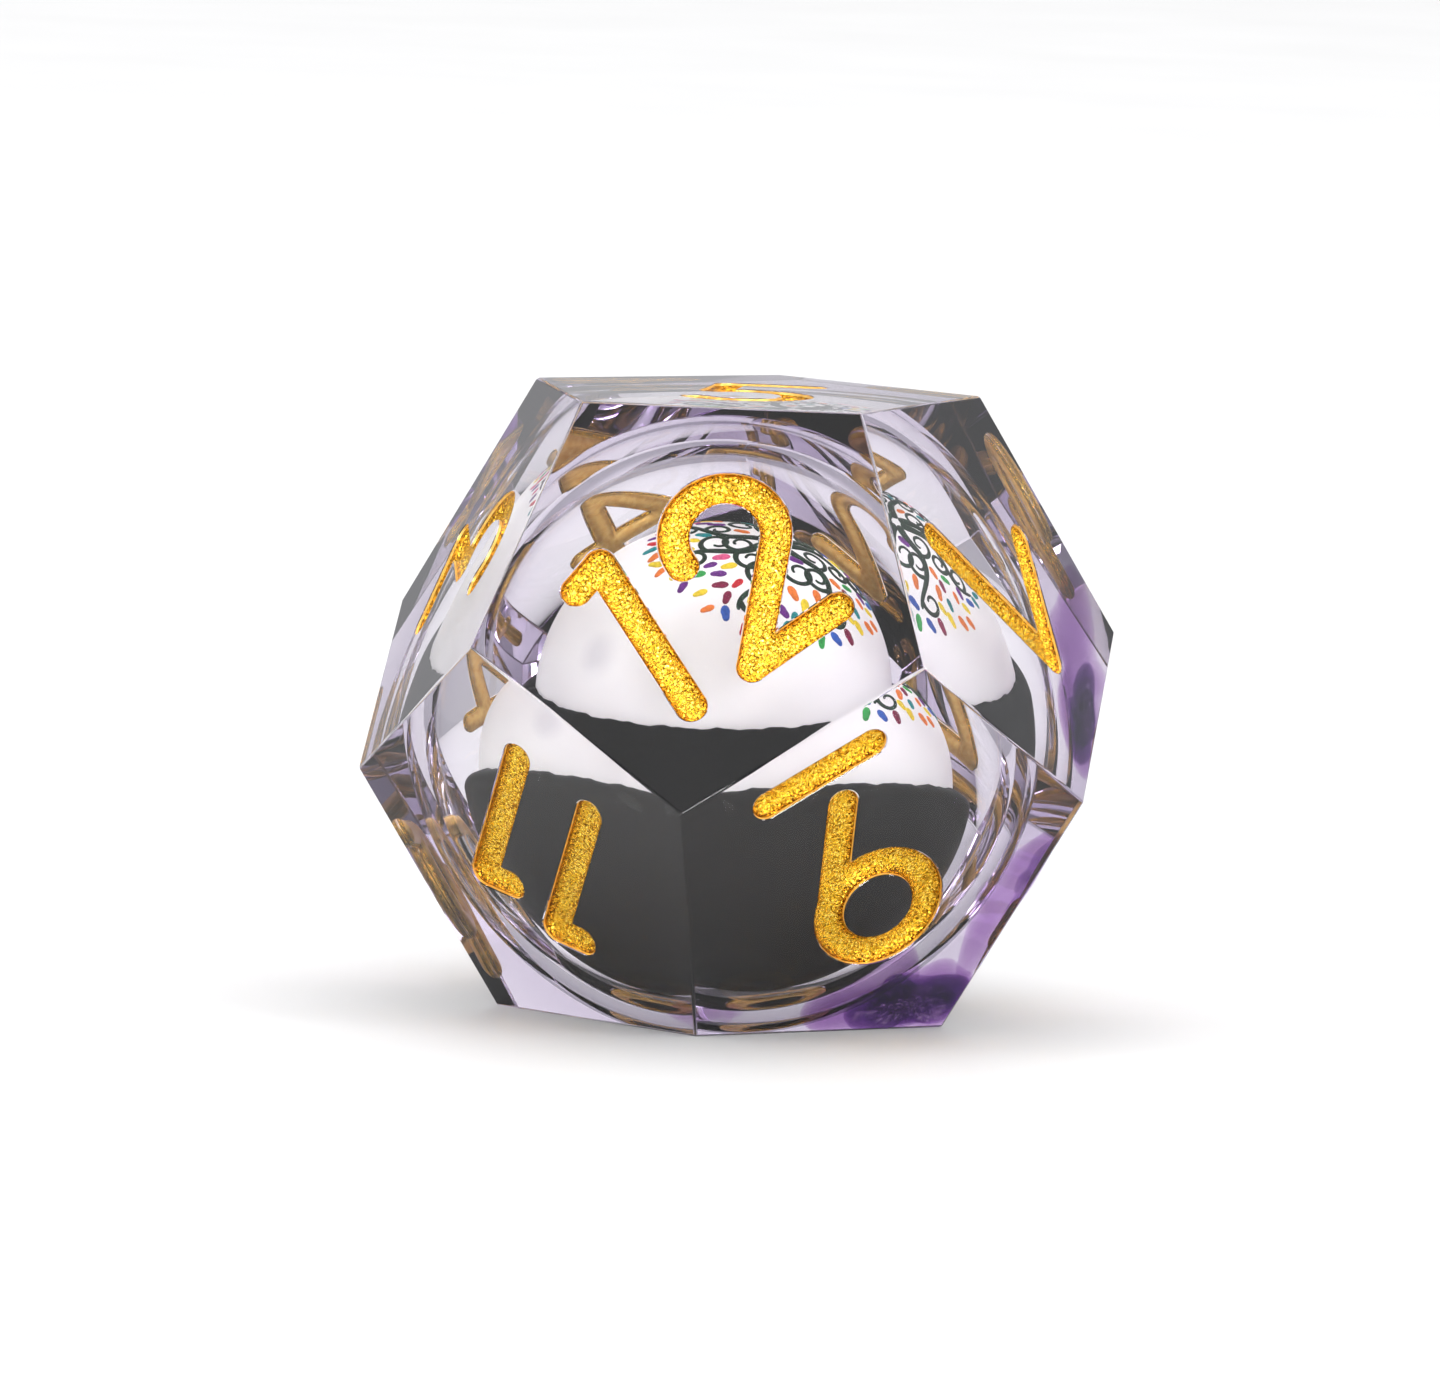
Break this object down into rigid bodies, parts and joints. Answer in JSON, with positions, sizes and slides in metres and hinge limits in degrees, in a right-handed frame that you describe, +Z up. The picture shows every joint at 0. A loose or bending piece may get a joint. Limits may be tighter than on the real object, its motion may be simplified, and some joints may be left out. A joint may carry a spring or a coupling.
{
  "type": "twelve-sided playing die",
  "caption": "Clear resin dodecahedral die with recessed gold numbers and a weighted ball floating upright in a sealed liquid core.",
  "frame": {"origin": "centre of the bottom face (the face numbered 8), on the surface the die rests on", "axes": "+Z up through the top face (numbered 5), -Y towards the foot of the face numbered 12, +X to the right seen from that side"},
  "size_m": [0.0282, 0.0296, 0.024],
  "materials": {
    "clear_resin": "polished clear cast resin with faint violet ink",
    "clear_capsule": "clear moulded acrylic",
    "core_liquid": "clear colourless liquid",
    "ball_white": "smooth white plastic",
    "ball_black": "smooth black coating",
    "ball_print": "printed film, dark branches with coloured leaves",
    "weight_metal": "plain steel slug",
    "gold_paint": "metallic flake gold paint"
  },
  "bodies": {
    "die": {"resin_body": "clear_resin", "capsule_upper": "clear_capsule", "capsule_lower": "clear_capsule", "fill_plug": "clear_capsule", "paint_1": "gold_paint", "paint_2": "gold_paint", "paint_3": "gold_paint", "paint_4": "gold_paint", "paint_5": "gold_paint", "paint_6": "gold_paint", "paint_7": "gold_paint", "paint_8": "gold_paint", "paint_9": "gold_paint", "paint_10_tens": "gold_paint", "paint_10_ones": "gold_paint", "paint_11_tens": "gold_paint", "paint_11_ones": "gold_paint", "paint_12_tens": "gold_paint", "paint_12_ones": "gold_paint", "paint_6_bar": "gold_paint", "paint_9_bar": "gold_paint"},
    "liquid": {"fill_liquid": "core_liquid"},
    "ball": {"ball_shell": "ball_white", "ball_cup": "ball_black", "ball_weight": "weight_metal", "ball_print": "ball_print"}
  },
  "joints": [
    {"name": "liquid_swirl", "type": "hinge", "parent": "die", "child": "liquid", "pos_m": [-0.0004, 0, 0.01135], "axis": [0, 0, 1], "continuous": true},
    {"name": "ball_tilt", "type": "hinge", "parent": "liquid", "child": "ball", "pos_m": [-0.0004, 0, 0.01045], "axis": [1, 0, 0], "continuous": true}
  ]
}
